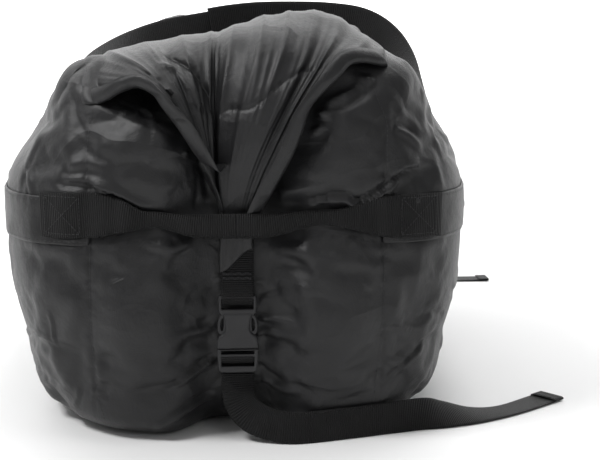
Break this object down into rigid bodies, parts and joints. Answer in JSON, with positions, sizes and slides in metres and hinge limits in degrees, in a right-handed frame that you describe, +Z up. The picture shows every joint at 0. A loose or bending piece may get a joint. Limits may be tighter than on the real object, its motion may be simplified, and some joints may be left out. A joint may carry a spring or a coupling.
{
  "type": "stuff sack",
  "caption": "Stuffed travel sack lying on its side, with buckled closing flaps, end haul handles and a carry strap.",
  "frame": {"origin": "middle of the underside, on the surface the sack lies on", "axes": "+Z up, +Y along the sack from its front end to its rear end, +X to the right seen from the front"},
  "size_m": [0.6034, 0.7578, 0.4076],
  "materials": {
    "shell_fabric": "satin",
    "band_fabric": "satin",
    "webbing": "matte",
    "buckle_plastic": "matte",
    "thread": "satin",
    "load": "matte"
  },
  "bodies": {
    "root": {"filling": "load", "top_panel": "shell_fabric", "bottom_panel": "shell_fabric", "side_band_left": "band_fabric", "side_band_right": "band_fabric", "front_center_panel": "shell_fabric", "front_gusset_left": "shell_fabric", "front_gusset_right": "shell_fabric", "front_seam_stitching": "thread", "front_closing_flap": "shell_fabric", "front_flap_fold": "shell_fabric", "front_haul_end_left": "webbing", "front_haul_end_right": "webbing", "front_haul_stitching": "thread", "front_haul_leg_left": "webbing", "front_haul_leg_right": "webbing", "front_buckle_plug": "buckle_plastic", "front_buckle_prongs": "buckle_plastic", "front_anchor_strap": "webbing", "front_strap_tail": "webbing", "front_tail_hem": "webbing", "rear_center_panel": "shell_fabric", "rear_gusset_left": "shell_fabric", "rear_gusset_right": "shell_fabric", "rear_seam_stitching": "thread", "rear_closing_flap": "shell_fabric", "rear_flap_fold": "shell_fabric", "rear_haul_end_left": "webbing", "rear_haul_end_right": "webbing", "rear_haul_stitching": "thread", "rear_haul_leg_left": "webbing", "rear_haul_leg_right": "webbing", "rear_buckle_plug": "buckle_plastic", "rear_buckle_prongs": "buckle_plastic", "rear_anchor_strap": "webbing", "rear_strap_tail": "webbing", "rear_tail_hem": "webbing", "carry_end": "webbing", "carry_stitching": "thread", "carry_run": "webbing", "lock_stub": "webbing", "stub_bartack": "thread"},
    "front_socket": {"front_tab_fabric": "shell_fabric", "front_tab_webbing": "webbing", "front_tab_bartacks": "thread", "front_buckle_socket": "buckle_plastic"},
    "front_grip": {"front_haul_grip": "webbing"},
    "rear_socket": {"rear_tab_fabric": "shell_fabric", "rear_tab_webbing": "webbing", "rear_tab_bartacks": "thread", "rear_buckle_socket": "buckle_plastic"},
    "rear_grip": {"rear_haul_grip": "webbing"},
    "carry_arch": {"carry_strap": "webbing"},
    "ladder": {"ladder_lock": "buckle_plastic", "lock_webbing": "webbing"}
  },
  "joints": [
    {"name": "front_buckle_release", "type": "slide", "parent": "root", "child": "front_socket", "axis": [0, 0, 1], "range_m": [0, 0.04], "deforming": ["front_buckle_prongs"]},
    {"name": "front_haul_pull", "type": "slide", "parent": "root", "child": "front_grip", "axis": [0, -1, 0], "range_m": [0, 0.025], "deforming": ["front_haul_leg_left", "front_haul_leg_right"]},
    {"name": "rear_buckle_release", "type": "slide", "parent": "root", "child": "rear_socket", "axis": [0, 0, 1], "range_m": [0, 0.04], "deforming": ["rear_buckle_prongs"]},
    {"name": "rear_haul_pull", "type": "slide", "parent": "root", "child": "rear_grip", "axis": [0, 1, 0], "range_m": [0, 0.025], "deforming": ["rear_haul_leg_left", "rear_haul_leg_right"]},
    {"name": "carry_strap_swing", "type": "hinge", "parent": "root", "child": "carry_arch", "pos_m": [0, -0.05, 0.24], "axis": [1, 0, 0], "range_deg": [-12, 12], "stiffness_Nm_per_rad": 0.05},
    {"name": "ladder_lock_swing", "type": "hinge", "parent": "root", "child": "ladder", "pos_m": [0.2285, -0.05, 0.121], "axis": [0, 1, 0], "range_deg": [0, 40]}
  ]
}
